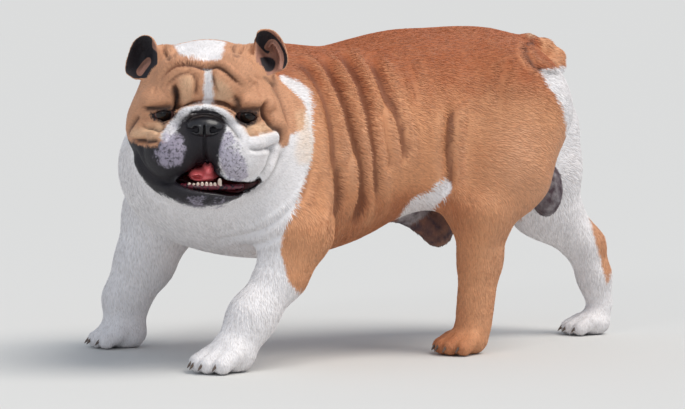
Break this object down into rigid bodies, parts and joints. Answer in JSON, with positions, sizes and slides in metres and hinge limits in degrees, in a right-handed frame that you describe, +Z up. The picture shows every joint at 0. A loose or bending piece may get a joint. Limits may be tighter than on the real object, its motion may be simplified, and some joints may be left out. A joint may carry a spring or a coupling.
{
  "type": "english bulldog",
  "caption": "Life-size standing English bulldog with a broad wrinkled head turned to its left, rose ears, heavy shoulders and a screw tail.",
  "frame": {"origin": "middle of the dog's outline on the floor, at the level of the paws' soles", "axes": "+Z up, the dog walks towards -Y and its own left side is +X; its length runs along Y"},
  "size_m": [0.4473, 0.7724, 0.4187],
  "materials": {
    "ear_left": "short flat red coat over skin",
    "ear_right": "short flat red coat over skin",
    "eye_left": "wet dark brown eye",
    "eye_right": "wet dark brown eye",
    "head": "short flat coat over skin, fawn with white blaze and dark muzzle",
    "jaw": "short flat coat over skin, with dark wet lips and ivory teeth",
    "leg_front_left": "short flat white coat over skin",
    "leg_front_right": "short flat white coat over skin",
    "leg_hind_left": "short flat red coat over skin",
    "leg_hind_right": "short flat red coat over skin",
    "neck": "short flat red coat over skin",
    "nose": "moist black nose leather",
    "paw_front_left": "short flat white coat over skin",
    "paw_front_right": "short flat white coat over skin",
    "paw_hind_left": "short flat coat over skin",
    "paw_hind_right": "short flat coat over skin",
    "tail": "short flat red coat over skin",
    "tongue": "wet pink tongue",
    "torso": "short flat red coat over skin"
  },
  "bodies": {
    "root": {"ear_left": "ear_left", "ear_right": "ear_right", "eye_left": "eye_left", "eye_right": "eye_right", "head": "head", "jaw": "jaw", "leg_front_left": "leg_front_left", "leg_front_right": "leg_front_right", "leg_hind_left": "leg_hind_left", "leg_hind_right": "leg_hind_right", "neck": "neck", "nose": "nose", "paw_front_left": "paw_front_left", "paw_front_right": "paw_front_right", "paw_hind_left": "paw_hind_left", "paw_hind_right": "paw_hind_right", "tail": "tail", "tongue": "tongue", "torso": "torso"}
  },
  "joints": []
}
